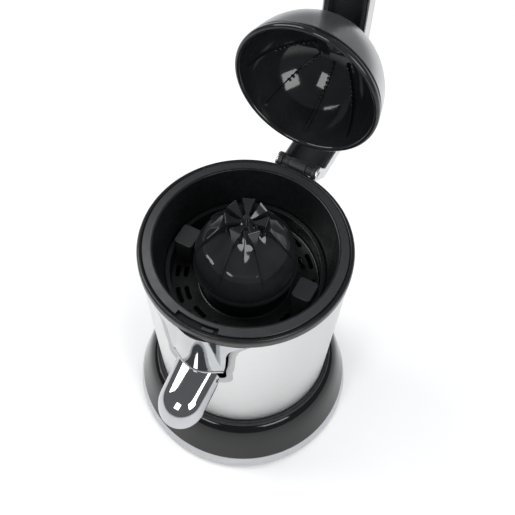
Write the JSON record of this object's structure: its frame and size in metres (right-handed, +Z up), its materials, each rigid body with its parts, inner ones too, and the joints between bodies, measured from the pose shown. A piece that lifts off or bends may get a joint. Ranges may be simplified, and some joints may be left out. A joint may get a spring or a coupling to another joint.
{
  "type": "citrus press juicer",
  "caption": "Electric citrus press: a lever swings a ribbed dome down over a ridged cone that turns in a strainer bowl, and juice leaves by a drip-stop spout.",
  "frame": {"origin": "on the worktop, where the axis of the round body meets it", "axes": "+Z up along the axis of the body and cone, -Y towards the spout, +Y towards the hinge, +X across to the object's left side when the spout faces the viewer's front; the viewer facing the spout sees +X on the right"},
  "size_m": [0.1816, 0.2823, 0.4119],
  "materials": {
    "gloss_black": "polished",
    "satin_black": "fine satin texture",
    "inner_black": "as moulded",
    "grey_trim": "satin paint",
    "rubber": "matt",
    "steel": "satin",
    "plain_steel": "turned",
    "zinc": "zinc plated",
    "nylon": "natural",
    "brass": "turned",
    "copper": "enamelled winding",
    "chrome": "mirror"
  },
  "bodies": {
    "base": {"base_plate": "inner_black", "foot_1": "rubber", "foot_2": "rubber", "foot_3": "rubber", "foot_4": "rubber", "base_ring": "grey_trim", "base_skirt": "gloss_black", "cord_gland": "rubber", "body_gasket": "rubber", "steel_shell": "steel", "inner_housing": "inner_black", "shaft_bush": "brass", "chassis_tube": "inner_black", "gear_plate": "zinc", "gear_cover": "zinc", "gear_post_1": "zinc", "gear_post_2": "zinc", "gear_post_3": "zinc", "gear_screw_1": "zinc", "gear_screw_2": "zinc", "gear_screw_3": "zinc", "idler_pin": "zinc", "motor_can": "zinc", "motor_stator": "copper", "motor_cradle": "inner_black", "micro_switch": "inner_black", "press_spring": "plain_steel", "hinge_bracket": "satin_black", "hinge_pin": "plain_steel", "hinge_washer_left": "satin_black", "hinge_washer_right": "satin_black"},
    "lever": {"lever_arm": "satin_black", "lever_cover": "steel", "handle_grip": "rubber", "press_dome": "gloss_black", "dome_cover": "steel", "dome_neck": "satin_black", "dome_screw": "plain_steel"},
    "bowl": {"juice_bowl": "satin_black", "rim_ring": "satin_black", "bowl_key": "satin_black", "spout_panel": "chrome", "spout_pin_left": "plain_steel", "spout_pin_right": "plain_steel"},
    "spout": {"spout": "chrome"},
    "strainer": {"strainer": "satin_black"},
    "thrust": {"thrust_cup": "nylon"},
    "shaft": {"drive_shaft": "plain_steel", "output_gear": "nylon"},
    "cone": {"cone": "gloss_black"},
    "motor": {"motor_rotor": "zinc", "motor_pinion": "brass"},
    "idler": {"idler_wheel": "nylon", "idler_pinion": "zinc"},
    "switch": {"switch_lever": "zinc"}
  },
  "joints": [
    {"name": "lever_hinge", "type": "hinge", "parent": "base", "child": "lever", "pos_m": [0, 0.0865, 0.207], "axis": [-1, 0, 0], "range_deg": [-92.7, 0]},
    {"name": "spout_drip_stop", "type": "hinge", "parent": "bowl", "child": "spout", "pos_m": [0, -0.0775, 0.1445], "axis": [-1, 0, 0], "range_deg": [0, 14]},
    {"name": "cup_press", "type": "slide", "parent": "base", "child": "thrust", "axis": [0, 0, 1], "range_m": [-0.0025, 0], "stiffness_N_per_m": 3000, "springref_m": 0.004, "deforming": ["press_spring"]},
    {"name": "shaft_spin", "type": "hinge", "parent": "thrust", "child": "shaft", "pos_m": [0, 0, 0.1], "axis": [0, 0, 1], "continuous": true},
    {"name": "cone_lift", "type": "slide", "parent": "shaft", "child": "cone", "axis": [0, 0, 1], "range_m": [0, 0.14]},
    {"name": "bowl_lift", "type": "slide", "parent": "base", "child": "bowl", "axis": [0, 0, 1], "range_m": [0, 0.05]},
    {"name": "strainer_lift", "type": "slide", "parent": "bowl", "child": "strainer", "axis": [0, 0, 1], "range_m": [0, 0.04]},
    {"name": "motor_spin", "type": "hinge", "parent": "base", "child": "motor", "pos_m": [0.01248, 0.01375, 0.05], "axis": [0, 0, 1], "continuous": true},
    {"name": "idler_spin", "type": "hinge", "parent": "base", "child": "idler", "pos_m": [0.0363, 0, 0.09], "axis": [0, 0, 1], "continuous": true},
    {"name": "switch_rock", "type": "hinge", "parent": "base", "child": "switch", "pos_m": [-0.0284, 0, 0.088], "axis": [0, 1, 0], "range_deg": [0, 12.7]}
  ],
  "couplings": [
    {"joint": "bowl_lift", "follows": "cone_lift", "ratio": 0.35714},
    {"joint": "strainer_lift", "follows": "cone_lift", "ratio": 0.28571},
    {"joint": "idler_spin", "follows": "motor_spin", "ratio": -0.25},
    {"joint": "shaft_spin", "follows": "motor_spin", "ratio": 0.05},
    {"joint": "switch_rock", "follows": "cup_press", "rad_per_m": -88}
  ]
}
